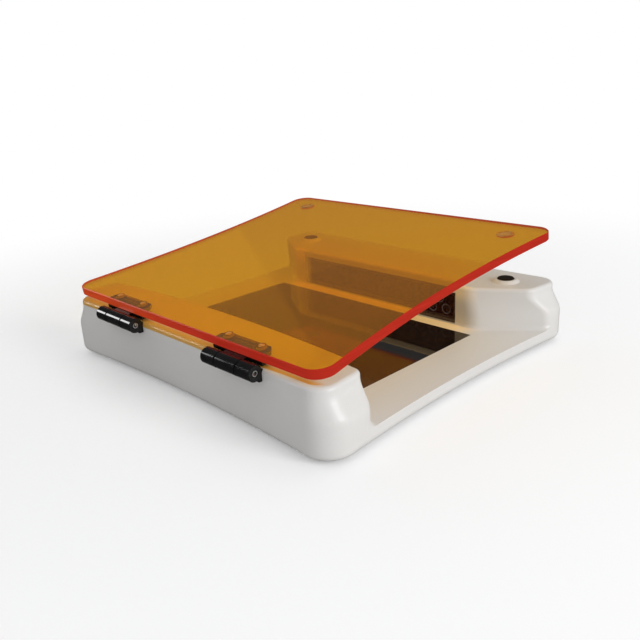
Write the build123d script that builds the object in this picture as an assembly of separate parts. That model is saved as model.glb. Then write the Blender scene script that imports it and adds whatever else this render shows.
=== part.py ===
"""Blue light gel viewer: a moulded housing with two lamp blocks and a hinged amber lid.

Millimetres. X runs along the hinges, Y from the hinge wall to the far wall, Z up.
Pieces are drawn about the middle of the housing. On export everything is moved along Y,
so that the origin lies on the bench below the middle of the footprint, hinge barrels included.
The lid group is drawn shut and then turned up by rest_angle about the hinge axis.
"""
from build123d import *
from math import hypot
import os

# Housing outline at the skirt: corners as if sharp, sides drawn in at the middle
half_width = 113.0
half_depth = 103.0
side_waist = 5.7
end_waist = 5.0
corner_radius = 14.0

# How far the corners come in between the skirt and the top of the lamp blocks
flare_x = 6.2
flare_y = 3.2
waist_growth = 1.3
corner_tightening = 4.0
flare_start = 16.5
flare_top_margin = 3.3
block_steps = 10
hollow_steps = 5

# Heights above the housing's lower rim, and the feet under it
foot_height = 2.0
tray_height = 8.3
block_height = 33.3

# Walls of the moulding
wall = 4.5
top_wall = 3.0
tray_wall = 3.0
block_wall_step = 0.4
bottom_round = 4.0
top_round = 2.0

# Lamp blocks: how far each reaches in from the skirt's end, and its inner face
front_block_depth = 38.0
rear_block_depth = 49.4
front_block_bow = 5.8
front_inner_corner = 5.0
front_corner_growth = 3.0
rear_straight_inset = 37.0
rear_straight_draft = 3.0
rear_skew_run = 26.3
rear_skew_draft = 7.5
rear_skew_corner = 8.0
rear_skew_blend = 14.0
block_face_wall = 7.5
rear_face_wall = 5.5

# Hollow rounding where a block rises from the tray
cove_radius = 3.0
cove_root = 1.0
cove_bite = 0.03
cove_side_gap = 0.05

# Viewing plate, flush in the tray
plate_width = 160.0
plate_thickness = 3.0
plate_near_margin = 7.5
plate_far_margin = 7.3
plate_ledge = 4.0
ledge_thickness = 2.0
panel_gap = 0.2

# Lamp windows, one in each block's inner face
window_width = 128.6
window_top_margin = 4.6
window_thickness = 2.5
window_rise = 1.3
window_inset = 0.65
window_ledge = 2.5

# Lamps behind the windows
lamp_pitch = 10.0
lamp_count = 12
lamp_radius = 3.4
lamp_length = 3.6
lamp_dome = 1.6
lamp_tip_radius = 1.9
lamp_row_spacing = 6.4
lamp_to_window = 1.0
board_overhang = 2.7
board_margin = 2.1
board_thickness = 1.6
bracket_thickness = 2.0
bracket_foot = 9.0
board_screw_inset = 3.6
bracket_screw_inset = 22.0

# Base plate, its screws and the feet
base_thickness = 2.5
base_recess = 0.3
base_gap = 0.4
base_screw_side_inset = 17.5
base_screw_end_inset = 17.0
boss_radius = 4.2
boss_screw_depth = 9.0
foot_radius = 8.0
foot_draft = 1.0
foot_side_inset = 35.0
foot_end_inset = 21.0

# Lid
lid_side_inset = 7.3
lid_far_inset = 8.1
lid_thickness = 5.0
lid_waist = 7.0
lid_corner_radius = 9.3
lid_edge_round = 0.4
lid_gap = 2.4
lid_setback = 0.4
rest_angle = 7.1

# Rest pads on the far block and the discs in the lid above them
pad_side_inset = 30.5
pad_end_inset = 24.6
pad_radius = 5.0
pad_clearance = 0.1
pad_boss_radius = 6.4
pad_boss_foot = 8.2
pad_boss_height = 1.6
pad_edge_round = 0.6
disc_thickness = 2.0

# Hinges
hinge_x = 50.0
hinge_length = 36.0
hinge_reach = 4.4
hinge_drop = 1.0
barrel_radius = 4.1
knuckle_length = 15.0
knuckle_gap = 0.4
knuckle_chamfer = 0.4
pin_recess = 0.3
pin_radius = 1.6
running_gap = 0.05
wall_leaf_height = 5.8
wall_leaf_thickness = 2.7
wall_leaf_seat = 0.2
lid_leaf_length = 36.0
lid_leaf_thickness = 1.8
lid_leaf_reach = 13.6
lid_leaf_chamfer = 3.0
knuckle_relief = 0.5
lid_screw_reach = 10.4
leaf_screw_half_pitch = 12.0
leaf_screw_drop = 4.0
leaf_screw_bite = 2.2

# Screws, inserts
m3_radius = 1.5
m3_head_radius = 2.8
m3_head_height = 1.7
m2_radius = 1.0
m2_head_radius = 1.9
m2_head_height = 1.3
small_screw_radius = 1.25
small_head_radius = 2.3
small_head_height = 1.6
head_clearance = 0.3
insert_radius = 2.4
insert_length = 3.6
insert_floor = 0.6
screw_tip_gap = 0.3
head_recess = 0.1

# Power switch and inlet in the far wall
port_z = 16.0
port_spacing = 17.0
port_recess = 0.8
port_margin = 3.0
switch_width = 12.0
switch_height = 14.4
switch_depth = 13.0
bezel_width = 14.6
bezel_height = 17.2
bezel_thickness = 1.4
rocker_width = 8.6
rocker_radius = 6.0
rocker_face = 3.0
rocker_tilt = 11.0
rocker_back = 2.6
rocker_gap = 0.2
rocker_pin_radius = 0.8
rocker_pin_length = 0.8
jack_radius = 4.0
jack_flange_radius = 5.6
jack_flange_thickness = 1.4
jack_length = 10.0
jack_bore_radius = 3.1
jack_bore_depth = 9.5
jack_pin_radius = 1.0
jack_nut_radius = 5.4
jack_nut_thickness = 2.0

# Driver board in the far block
driver_width = 64.0
driver_depth = 13.5
driver_side_inset = 23.0
driver_gap = 1.5
driver_post_height = 3.0
driver_post_radius = 2.4
driver_screw_inset = 3.5
driver_hole_floor = 0.8
terminal_width = 7.0
terminal_depth = 8.0
terminal_height = 5.0
input_terminal_step = -21.0
output_terminal_steps = [14.0, 21.5]
choke_radius = 3.4
choke_height = 5.0
choke_steps = [-12.8, -5.0]
capacitor_radius = 3.0
capacitor_height = 8.0
capacitor_step = 2.6
chip_size = 4.4
chip_height = 1.4
chip_step = 8.0

# Leads
lead_radius = 0.9
lead_bend = 1.8
lead_floor_gap = 0.35
lead_plate_gap = 4.8
lead_exit = 4.0
lead_drop = 3.2
lead_climb = 6.0
lead_foot = 3.5
lead_run_in = 11.0
supply_slant = 10.2
supply_spacing = 3.9
tab_step = 1.3
switch_tab_step = 2.5
switch_tab_rise = 2.0
switch_tab_drop = 4.0

# Sizes that follow from those above
flare_end = block_height - flare_top_margin
window_height = block_height - tray_height - window_rise - window_top_margin
board_width = window_width + 2 * board_overhang
board_height = window_height - board_margin

# Heights in the part's own frame
rim_z = foot_height
tray_z = rim_z + tray_height
top_z = rim_z + block_height
base_top_z = rim_z + base_recess + base_thickness
cavity_top_z = top_z - top_wall
tray_underside_z = tray_z - tray_wall

# Planes of the end walls at their middles, and of the blocks' inner faces
front_wall_y = -(half_depth - end_waist)
rear_wall_y = half_depth - end_waist
front_block_face = -(half_depth - front_block_depth)
rear_block_face = half_depth - rear_block_depth

# Hinge axis, set out from the front wall's middle
seat_y = front_wall_y + wall_leaf_seat
axis_y = seat_y - hinge_reach
axis_z = top_z - hinge_drop
lid_under_z = top_z + lid_gap
lid_edge_y = front_wall_y + lid_setback
lid_far_y = half_depth - lid_far_inset
lid_half_width = half_width - lid_side_inset
pad_x = half_width - pad_side_inset
pad_y = half_depth - pad_end_inset


def flare(z):
    """How far the outline has moved from the skirt (0) to the block tops (1) at height z."""
    u = (z - rim_z - flare_start) / (flare_end - flare_start)
    u = min(max(u, 0.0), 1.0)
    return u * u * (3 - 2 * u)


def waist_radius(half_chord, waist):
    """Radius of an arc with the given half chord and rise."""
    return (half_chord ** 2 + waist ** 2) / (2 * waist)


def outline_sizes(t):
    """Half width, half depth, side waist, end waist and corner radius at flare t."""
    return (
        half_width - flare_x * t,
        half_depth - flare_y * t,
        side_waist + waist_growth * t,
        end_waist - flare_y * t,
        corner_radius - corner_tightening * t,
    )


def side_x(t, y):
    """X of the right side's waisted line at y."""
    hx, hy, wx, _, _ = outline_sizes(t)
    radius = waist_radius(hy, wx)
    return hx - wx + radius - (radius ** 2 - y ** 2) ** 0.5


def side_arc(t, y0, y1, sign=1):
    """The stretch of the right (or, with sign -1, left) side between two heights in Y."""
    points = [(sign * side_x(t, y), y) for y in (y0, (y0 + y1) / 2, y1)]
    return ThreePointArc(*points)


def end_arc(t, sign=1):
    """The waisted far side of the outline, or with sign -1 the front side."""
    hx, hy, _, wy, _ = outline_sizes(t)
    return ThreePointArc((-hx, sign * hy), (0, sign * (hy - wy)), (hx, sign * hy))


def round_corners(face, points, radius):
    """Round the corners of a face that lie at the given points."""
    picked = [v for v in face.vertices() if any(hypot(v.X - x, v.Y - y) < 0.01 for x, y in points)]
    return face.fillet_2d(radius, picked)


def mirrored(x, y):
    """A point and its mirror image across X = 0."""
    return [(x, y), (-x, y)]


def corners(side_inset, end_inset):
    """Four points, each the same distances in from a corner of the skirt."""
    x, y = half_width - side_inset, half_depth - end_inset
    return mirrored(x, -y) + mirrored(x, y)


def outline(t=0.0):
    """The housing's plan outline, from the skirt (t = 0) to the block tops (t = 1)."""
    hx, hy, _, _, radius = outline_sizes(t)
    edges = [end_arc(t, -1), side_arc(t, -hy, hy), end_arc(t), side_arc(t, -hy, hy, -1)]
    face = Face(Wire(edges))
    return round_corners(face, mirrored(hx, hy) + mirrored(hx, -hy), radius)


def front_block_plan(t):
    """Plan of the front block, with a gently bowed inner face."""
    hx, hy, _, _, radius = outline_sizes(t)
    end_y = front_block_face - front_block_bow
    end_x = side_x(t, end_y)
    inner = ThreePointArc((-end_x, end_y), (0, front_block_face), (end_x, end_y))
    edges = [end_arc(t, -1), side_arc(t, -hy, end_y), inner, side_arc(t, -hy, end_y, -1)]
    face = Face(Wire(edges))
    face = round_corners(face, mirrored(hx, -hy), radius)
    inner_radius = front_inner_corner + front_corner_growth * (1 - t)
    return round_corners(face, mirrored(end_x, end_y), inner_radius)


def rear_block_plan(t):
    """Plan of the far block: straight in the middle, skewed back towards both ends."""
    hx, hy, _, _, radius = outline_sizes(t)
    half = half_width - rear_straight_inset - rear_straight_draft * t
    end_y = rear_block_face + rear_skew_run - rear_skew_draft * t
    end_x = side_x(t, end_y)
    inner = Polyline(
        (-end_x, end_y), (-half, rear_block_face), (half, rear_block_face), (end_x, end_y)
    )
    edges = [end_arc(t), side_arc(t, end_y, hy), side_arc(t, end_y, hy, -1)] + list(inner.edges())
    face = Face(Wire(edges))
    face = round_corners(face, mirrored(hx, hy), radius)
    face = round_corners(face, mirrored(half, rear_block_face), rear_skew_blend)
    return round_corners(face, mirrored(end_x, end_y), rear_skew_corner)


def block(plan, low, high, steps, inset=0.0):
    """A lamp block, or with an inset its hollow, lofted through its plans at even steps in height."""
    wires = []
    for i in range(steps + 1):
        z = low + (high - low) * i / steps
        face = plan(flare(z))
        if inset:
            face = offset(face, -inset, kind=Kind.INTERSECTION).face()
        wires.append((Pos(0, 0, z) * face).outer_wire())
    return Solid.make_loft(wires)


def box(x0, x1, y0, y1, z0, z1):
    """A box between two corners."""
    return Pos((x0 + x1) / 2, (y0 + y1) / 2, (z0 + z1) / 2) * Box(x1 - x0, y1 - y0, z1 - z0)


def rod(radius, start, end):
    """A round bar between two points."""
    start, end = Vector(*start), Vector(*end)
    return extrude(Plane(origin=start, z_dir=end - start) * Circle(radius), (end - start).length)


def group(solids):
    """Several separate solids as one piece."""
    return Compound(children=list(solids))


def both_sides(make):
    """The same piece on the left and the right."""
    return [make(-1), make(1)]


def pan_screw(radius, head_radius, head_height, length, at, direction):
    """A round-headed screw: its head lies behind the seat at the given point."""
    at, direction = Vector(*at), Vector(*direction).normalized()
    shank = rod(radius, at, at + direction * length)
    head = rod(head_radius, at - direction * head_height, at)
    rim = head.edges().filter_by(GeomType.CIRCLE).sort_by_distance(at)[-1]
    return shank + chamfer(rim, head_height / 3)


def countersunk_screw(radius, head_radius, length, at, direction):
    """A flat-headed screw whose head's face lies at the given point."""
    at, direction = Vector(*at), Vector(*direction).normalized()
    plane = Plane(origin=at, z_dir=direction)
    depth = head_radius - radius
    cone = plane * (Pos(0, 0, depth / 2) * Cone(head_radius, radius, depth))
    return cone + rod(radius, at, at + direction * length)


# Lamp stations: which way the inner face looks, and the planes behind it

class LampStation:
    """The planes of one lamp block, from its window back to its bracket."""

    def __init__(self, name, facing, window_y, hollow_y):
        self.name = name
        self.facing = facing
        self.window_y = window_y
        self.hollow_y = hollow_y
        self.window_back = self.back(window_y, window_thickness)
        self.lamp_front = self.back(self.window_back, lamp_to_window)
        self.board_front = self.back(self.lamp_front, lamp_length)
        self.board_back = self.back(self.board_front, board_thickness)
        self.bracket_back = self.back(self.board_back, bracket_thickness)
        self.foot_end = self.back(self.bracket_back, bracket_foot)

    def back(self, y, depth):
        """The plane a depth further into the block."""
        return y - self.facing * depth

    def slab(self, x0, x1, y0, y1, z0, z1):
        """A box between two of the station's planes."""
        return box(x0, x1, min(y0, y1), max(y0, y1), z0, z1)


window_bottom = tray_z + window_rise
window_mid = window_bottom + window_height / 2
front_bow_at_window = front_block_bow * (window_width / 2 / half_width) ** 2
front_station = LampStation(
    "front",
    1,
    front_block_face - front_bow_at_window - window_inset,
    front_block_face - block_face_wall,
)
rear_station = LampStation(
    "rear", -1, rear_block_face + window_inset, rear_block_face + rear_face_wall
)
stations = [front_station, rear_station]

# Viewing plate
plate_back_y = rear_block_face - plate_far_margin
plate_front_y = front_block_face + plate_near_margin
plate_under_z = tray_z - plate_thickness

# Ports in the far wall
port_y = rear_wall_y - port_recess
port_mid_z = rim_z + port_z
switch_x = -port_spacing / 2
jack_x = port_spacing / 2
opening_half = rocker_radius + rocker_gap

# Screw and disc places
base_screw_spots = corners(base_screw_side_inset, base_screw_end_inset)
foot_spots = corners(foot_side_inset, foot_end_inset)
leaf_screw_z = top_z - leaf_screw_drop
leaf_screw_steps = [-leaf_screw_half_pitch, leaf_screw_half_pitch]
leaf_screw_x = [side * hinge_x + step for side in (-1, 1) for step in leaf_screw_steps]
lid_screw_spots = [(x, axis_y + lid_screw_reach) for x in leaf_screw_x]
disc_spots = mirrored(pad_x, pad_y)
driver_x = half_width - driver_side_inset - driver_width / 2
driver_top_z = base_top_z + driver_post_height
driver_face_z = driver_top_z + board_thickness
terminal_mid_z = driver_face_z + terminal_height / 2
driver_y0 = rear_station.foot_end + driver_gap
driver_y1 = driver_y0 + driver_depth
driver_mid_y = (driver_y0 + driver_y1) / 2
front_inner_y = front_wall_y + wall + block_wall_step
rear_inner_y = rear_wall_y - wall - block_wall_step

bracket_screw_x = board_width / 2 - bracket_screw_inset
bracket_screw_spots = [
    (side * bracket_screw_x, station.back(station.bracket_back, bracket_foot / 2), station)
    for station in stations
    for side in (-1, 1)
]
driver_screw_spots = [
    (driver_x + side * (driver_width / 2 - driver_screw_inset), y)
    for side in (-1, 1)
    for y in (driver_y0 + driver_screw_inset, driver_y1 - driver_screw_inset)
]


def cove(plan):
    """The hollow rounding between a lamp block and the tray, rooted in both."""
    inward_edges = [
        edge for edge in plan(0).outer_wire().edges() if abs((edge @ 0.5).Y) < half_depth - corner_radius
    ]
    path = Pos(0, 0, tray_z) * Wire(inward_edges)
    start, up = path @ 0, Vector(0, 0, 1)
    outward = (path % 0).cross(up)
    if outward.X * start.X < 0:
        outward = -outward
    size = cove_radius + cove_root
    middle = (cove_radius - cove_root) / 2
    root = Pos(middle, middle) * Rectangle(size, size)
    hollow = Pos(cove_radius, cove_radius) * Circle(cove_radius + cove_bite)
    plane = Plane(origin=start, x_dir=outward, z_dir=outward.cross(up))
    strip = sweep(plane * (root - hollow), path)
    inside = offset(outline(), -cove_side_gap, kind=Kind.INTERSECTION).face()
    return strip & extrude(Pos(0, 0, rim_z) * inside, block_height)


def housing_form():
    """The outside of the moulding: a tray slab with a lamp block at each end."""
    slab = extrude(Pos(0, 0, rim_z) * outline(), tray_height)
    form = fillet(slab.edges().group_by(Axis.Z)[0], bottom_round)
    for plan in (front_block_plan, rear_block_plan):
        form += cove(plan)
        solid = block(plan, tray_z, top_z, block_steps)
        form += fillet(solid.edges().group_by(Axis.Z)[-1], top_round)
    return form


def housing_hollow():
    """The space inside the moulding, open below."""
    inner = offset(outline(), -wall, kind=Kind.INTERSECTION).face()
    under_tray = extrude(Pos(0, 0, rim_z - 1) * inner, tray_underside_z - rim_z + 1)
    far_out = 2 * half_depth
    hollow = under_tray
    for plan, station in ((front_block_plan, front_station), (rear_block_plan, rear_station)):
        room = block(plan, base_top_z, cavity_top_z, hollow_steps, wall + block_wall_step)
        beyond = station.slab(
            -far_out, far_out, station.hollow_y, station.back(0, far_out), 0, 2 * top_z
        )
        hollow += room & beyond
    return hollow


def plate_seat():
    """The ledge under the viewing plate, as a frame hanging below the tray."""
    margin = panel_gap + tray_wall
    frame = box(
        -plate_width / 2 - margin, plate_width / 2 + margin,
        plate_front_y - margin, plate_back_y + margin,
        plate_under_z - ledge_thickness, tray_underside_z,
    )
    return frame


def plate_cuts():
    """The viewing plate's pocket and the opening inside its ledge."""
    half = plate_width / 2
    pocket = box(
        -half - panel_gap, half + panel_gap,
        plate_front_y - panel_gap, plate_back_y + panel_gap,
        plate_under_z, tray_z + 1,
    )
    opening = box(
        -half + plate_ledge, half - plate_ledge,
        plate_front_y + plate_ledge, plate_back_y - plate_ledge,
        rim_z, tray_z + 1,
    )
    return [pocket, opening]


def window_cuts(station):
    """The lamp window's pocket and the opening inside its ledge."""
    half = window_width / 2
    outside = station.back(station.window_y, -2 * window_thickness - front_block_bow)
    pocket = station.slab(
        -half, half, outside, station.window_back, window_bottom, window_bottom + window_height
    )
    opening = station.slab(
        -half + window_ledge, half - window_ledge, outside, station.back(station.hollow_y, 1),
        window_bottom + window_ledge, window_bottom + window_height - window_ledge,
    )
    return [pocket, opening]


def screw_boss(x, y):
    """A boss from the base plate up to the moulding's roof."""
    return rod(boss_radius, (x, y, base_top_z), (x, y, cavity_top_z + top_wall / 2))


def boss_hole(x, y):
    """The boss's hole for a base screw."""
    return rod(
        m3_radius + running_gap, (x, y, base_top_z - 1), (x, y, base_top_z + boss_screw_depth)
    )


def driver_post(x, y):
    """A post under a corner of the driver board."""
    return rod(driver_post_radius, (x, y, base_top_z), (x, y, driver_top_z))


def pad_boss(side):
    """A flared boss on the far block, with a seat for a rest pad."""
    x = side * pad_x
    profile = Polyline(
        (0, top_z - top_wall / 2),
        (pad_boss_foot, top_z - top_wall / 2),
        (pad_boss_foot, top_z),
        (pad_boss_radius, top_z + pad_boss_height),
        (0, top_z + pad_boss_height),
        (0, top_z - top_wall / 2),
    )
    boss = revolve(Plane.XZ * make_face(profile), Axis.Z)
    return Pos(x, pad_y, 0) * boss


def pad_seat(side):
    """The recess that takes a rest pad."""
    x = side * pad_x
    return rod(pad_radius + pad_clearance, (x, pad_y, top_z), (x, pad_y, top_z + lid_gap + 1))


def hinge_seat(side):
    """A flat in the front wall for a hinge's wall leaf."""
    half = hinge_length / 2 + panel_gap
    return box(
        side * hinge_x - half, side * hinge_x + half,
        front_wall_y - end_waist, seat_y,
        top_z - wall_leaf_height - panel_gap, top_z + 1,
    )


def leaf_screw_hole(x):
    """Through hole and head pocket for a screw that holds a wall leaf from inside."""
    z = leaf_screw_z
    hole = rod(small_screw_radius + running_gap, (x, seat_y - 1, z), (x, front_inner_y + 1, z))
    pocket = rod(
        small_head_radius + head_clearance,
        (x, front_inner_y - small_head_height, z),
        (x, front_inner_y + wall, z),
    )
    return hole + pocket


def port_cuts():
    """The flat, the switch's window and the inlet's hole in the far wall."""
    flat = box(
        switch_x - bezel_width / 2 - port_margin, jack_x + jack_flange_radius + port_margin,
        port_y, rear_wall_y + end_waist,
        port_mid_z - bezel_height / 2 - port_margin / 2, port_mid_z + bezel_height / 2 + port_margin / 2,
    )
    window = box(
        switch_x - switch_width / 2 - panel_gap, switch_x + switch_width / 2 + panel_gap,
        port_y - 2 * wall, port_y + 1,
        port_mid_z - switch_height / 2 - panel_gap, port_mid_z + switch_height / 2 + panel_gap,
    )
    hole = rod(
        jack_radius + running_gap, (jack_x, port_y - 2 * wall, port_mid_z), (jack_x, port_y + 1, port_mid_z)
    )
    return [flat, window, hole]


def upper_housing():
    """The white moulding that carries everything else."""
    shell = housing_form() - housing_hollow() + plate_seat()
    for x, y in base_screw_spots:
        shell += screw_boss(x, y)
    for boss in both_sides(pad_boss):
        shell += boss
    cuts = plate_cuts() + port_cuts()
    for station in stations:
        cuts += window_cuts(station)
    cuts += [boss_hole(x, y) for x, y in base_screw_spots]
    cuts += both_sides(pad_seat) + both_sides(hinge_seat)
    cuts += [leaf_screw_hole(x) for x in leaf_screw_x]
    for cut in cuts:
        shell -= cut
    return shell


def base_plate():
    """The flat plate that closes the housing from below, with posts for the driver board."""
    plan = offset(outline(), -wall - base_gap, kind=Kind.INTERSECTION).face()
    plate = extrude(Pos(0, 0, rim_z + base_recess) * plan, base_thickness)
    for x, y in driver_screw_spots:
        plate += driver_post(x, y)
    for x, y in base_screw_spots:
        plate -= rod(m3_radius + head_clearance, (x, y, rim_z), (x, y, base_top_z + 1))
        depth = m3_head_radius - m3_radius + head_clearance
        sink = Cone(m3_head_radius + head_clearance, m3_radius, depth)
        plate -= Pos(x, y, rim_z + base_recess + depth / 2) * sink
    for x, y, _ in bracket_screw_spots:
        plate -= rod(m3_radius + running_gap, (x, y, rim_z), (x, y, base_top_z + 1))
    for x, y in driver_screw_spots:
        hole_start = rim_z + base_recess + driver_hole_floor
        plate -= rod(m2_radius + running_gap, (x, y, hole_start), (x, y, driver_top_z + 1))
    return plate


def rubber_feet():
    """Four rubber feet stuck under the base plate."""
    height = foot_height + base_recess
    shape = Cone(foot_radius - foot_draft, foot_radius, height)
    return group(Pos(x, y, height / 2) * shape for x, y in foot_spots)


def base_screws():
    """The four screws that hold the base plate."""
    length = base_thickness + boss_screw_depth - head_recess - screw_tip_gap
    return group(
        countersunk_screw(
            m3_radius, m3_head_radius, length, (x, y, rim_z + base_recess + head_recess), (0, 0, 1)
        )
        for x, y in base_screw_spots
    )


def viewing_plate():
    """The glossy dark plate that gels lie on, flush with the tray."""
    return box(
        -plate_width / 2, plate_width / 2, plate_front_y, plate_back_y, plate_under_z, tray_z
    )


def led_window(station):
    """The dark pane in front of a row of lamps."""
    half = window_width / 2 - panel_gap
    return station.slab(
        -half, half, station.window_y, station.window_back,
        window_bottom + panel_gap, window_bottom + window_height - panel_gap,
    )


def lamp_spots():
    """X and Z of every lamp behind a window, in two staggered rows."""
    spots = []
    for count, z in ((lamp_count, -lamp_row_spacing / 2), (lamp_count - 1, lamp_row_spacing / 2)):
        spots += [((i - (count - 1) / 2) * lamp_pitch, window_mid + z) for i in range(count)]
    return spots


def leds(station):
    """The round blue lamps, each a short barrel with a domed end."""
    lamps = []
    for x, z in lamp_spots():
        base = station.board_front
        barrel = rod(lamp_radius, (x, base, z), (x, station.back(station.lamp_front, lamp_dome), z))
        dome = Pos(x, station.back(station.lamp_front, lamp_dome), z) * Rot(90 * station.facing * -1, 0, 0)
        tip = Cone(lamp_radius, lamp_tip_radius, lamp_dome)
        lamps.append(barrel + dome * (Pos(0, 0, lamp_dome / 2) * tip))
    return group(lamps)


def board_screw_spots():
    """X places of the screws through a lamp board and its bracket."""
    reach = board_width / 2 - board_screw_inset
    return [-reach, reach]


def led_board(station):
    """The aluminium-cored board that carries the lamps."""
    half = board_width / 2
    board = station.slab(
        -half, half, station.board_front, station.board_back,
        window_mid - board_height / 2, window_mid + board_height / 2,
    )
    for x in board_screw_spots():
        start = station.back(station.board_front, -1)
        end = station.back(station.board_back, 1)
        board -= rod(m2_radius + running_gap, (x, start, window_mid), (x, end, window_mid))
    return board


def led_bracket(station):
    """The aluminium angle that holds a lamp board upright and takes its heat."""
    half = board_width / 2
    leg = station.slab(
        -half, half, station.board_back, station.bracket_back,
        base_top_z, window_mid + board_height / 2,
    )
    foot = station.slab(
        -half, half, station.board_back, station.foot_end, base_top_z, base_top_z + bracket_thickness
    )
    angle = leg + foot
    for x in board_screw_spots():
        start = station.back(station.board_back, -1)
        end = station.back(station.bracket_back, 1)
        angle -= rod(m2_radius + running_gap, (x, start, window_mid), (x, end, window_mid))
    for x, y, owner in bracket_screw_spots:
        if owner is station:
            angle -= rod(
                m3_radius + running_gap, (x, y, base_top_z - 1), (x, y, base_top_z + 2 * bracket_thickness)
            )
    return angle


def bracket_screws():
    """The screws that hold both brackets to the base plate."""
    length = bracket_thickness + base_thickness - screw_tip_gap
    return group(
        pan_screw(
            m3_radius, m3_head_radius, m3_head_height, length,
            (x, y, base_top_z + bracket_thickness), (0, 0, -1),
        )
        for x, y, _ in bracket_screw_spots
    )


def board_screws():
    """The small screws that hold both lamp boards to their brackets."""
    length = board_thickness + bracket_thickness - screw_tip_gap
    return group(
        pan_screw(
            m2_radius, m2_head_radius, m2_head_height, length,
            (x, station.board_front, window_mid), (0, -station.facing, 0),
        )
        for station in stations
        for x in board_screw_spots()
    )


def driver_board():
    """The bare driver board on its posts."""
    half = driver_width / 2
    board = box(driver_x - half, driver_x + half, driver_y0, driver_y1, driver_top_z, driver_face_z)
    for x, y in driver_screw_spots:
        board -= rod(m2_radius + running_gap, (x, y, driver_top_z - 1), (x, y, driver_face_z + 1))
    return board


def driver_screws():
    """The four screws that hold the driver board."""
    length = board_thickness + driver_post_height + base_thickness - driver_hole_floor - screw_tip_gap
    return group(
        pan_screw(
            m2_radius, m2_head_radius, m2_head_height, length, (x, y, driver_face_z), (0, 0, -1)
        )
        for x, y in driver_screw_spots
    )


def terminal(x, y):
    """A connector block on the driver board, centred at a place on it."""
    hx, hy = terminal_width / 2, terminal_depth / 2
    return box(x - hx, x + hx, y - hy, y + hy, driver_face_z, driver_face_z + terminal_height)


def driver_components():
    """What stands on the driver board: terminals, chokes, a capacitor and the driver chip."""
    base, y = driver_face_z, driver_mid_y
    parts = [terminal(driver_x + step, y) for step in [input_terminal_step] + output_terminal_steps]
    for step in choke_steps:
        x = driver_x + step
        parts.append(rod(choke_radius, (x, y, base), (x, y, base + choke_height)))
    x = driver_x + capacitor_step
    can = rod(capacitor_radius, (x, y, base), (x, y, base + capacitor_height))
    parts.append(chamfer(can.edges().group_by(Axis.Z)[-1], capacitor_radius / 4))
    x, half = driver_x + chip_step, chip_size / 2
    parts.append(box(x - half, x + half, y - half, y + half, base, base + chip_height))
    return group(parts)


def power_switch_body():
    """The switch's bezel and case, hollowed for the rocker."""
    case = box(
        switch_x - switch_width / 2, switch_x + switch_width / 2, port_y - switch_depth, port_y,
        port_mid_z - switch_height / 2, port_mid_z + switch_height / 2,
    )
    bezel = box(
        switch_x - bezel_width / 2, switch_x + bezel_width / 2, port_y, port_y + bezel_thickness,
        port_mid_z - bezel_height / 2, port_mid_z + bezel_height / 2,
    )
    bezel = chamfer(bezel.faces().sort_by(Axis.Y)[-1].edges(), bezel_thickness / 3)
    half = rocker_width / 2 + rocker_gap
    room = rod(opening_half, (switch_x - half, port_y, port_mid_z), (switch_x + half, port_y, port_mid_z))
    mouth = box(
        switch_x - half, switch_x + half, port_y, port_y + 2 * bezel_thickness,
        port_mid_z - opening_half, port_mid_z + opening_half,
    )
    reach = half + rocker_pin_length
    pivot = rod(
        rocker_pin_radius + running_gap,
        (switch_x - reach, port_y, port_mid_z), (switch_x + reach, port_y, port_mid_z),
    )
    return case + bezel - room - mouth - pivot


def power_rocker():
    """The rocker, at rest with its lower half pressed in."""
    size = 2 * rocker_radius
    disc = rod(rocker_radius, (-rocker_width / 2, 0, 0), (rocker_width / 2, 0, 0))
    for side in (-1, 1):
        trim = Pos(0, rocker_face + size / 2, 0) * Box(2 * rocker_width, size, 4 * size)
        disc -= Rot(side * rocker_tilt, 0, 0) * trim
    disc -= Pos(0, -rocker_back - size / 2, 0) * Box(2 * rocker_width, size, 4 * size)
    reach = rocker_width / 2 + rocker_pin_length
    rocker = disc + rod(rocker_pin_radius, (-reach, 0, 0), (reach, 0, 0))
    return Pos(switch_x, port_y, port_mid_z) * Rot(-rocker_tilt, 0, 0) * rocker


def dc_jack():
    """The round low-voltage inlet with its flange outside the wall."""
    z = port_mid_z
    barrel = rod(jack_radius, (jack_x, port_y - jack_length, z), (jack_x, port_y, z))
    flange = rod(jack_flange_radius, (jack_x, port_y, z), (jack_x, port_y + jack_flange_thickness, z))
    flange = chamfer(flange.edges().group_by(Axis.Y)[-1], jack_flange_thickness / 3)
    mouth_y = port_y + jack_flange_thickness
    bore = rod(jack_bore_radius, (jack_x, mouth_y - jack_bore_depth, z), (jack_x, mouth_y + 1, z))
    return barrel + flange - bore


def jack_contact_pin():
    """The inlet's centre pin, standing on the bottom of its bore."""
    bottom = port_y + jack_flange_thickness - jack_bore_depth
    tip = port_y + jack_flange_thickness - 1
    pin = rod(jack_pin_radius, (jack_x, bottom, port_mid_z), (jack_x, tip, port_mid_z))
    return chamfer(pin.edges().group_by(Axis.Y)[-1], jack_pin_radius / 2)


def jack_nut():
    """The ring nut that clamps the inlet from inside."""
    z = port_mid_z
    back = rear_inner_y - jack_nut_thickness
    ring = rod(jack_nut_radius, (jack_x, back, z), (jack_x, rear_inner_y, z))
    return ring - rod(jack_radius + running_gap, (jack_x, back - 1, z), (jack_x, rear_inner_y + 1, z))


def rest_pad(side):
    """A rubber pad that the shut lid rests on."""
    x = side * pad_x
    pad = rod(pad_radius, (x, pad_y, top_z), (x, pad_y, lid_under_z - pad_clearance))
    return chamfer(pad.edges().group_by(Axis.Z)[-1], pad_edge_round)


def knuckle(x0, x1):
    """One knuckle of a hinge barrel, bored for the pin."""
    body = rod(barrel_radius, (x0, axis_y, axis_z), (x1, axis_y, axis_z))
    ends = body.edges().filter_by(GeomType.CIRCLE)
    body = chamfer(ends, knuckle_chamfer)
    return body - rod(pin_radius + running_gap, (x0 - 1, axis_y, axis_z), (x1 + 1, axis_y, axis_z))


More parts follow.
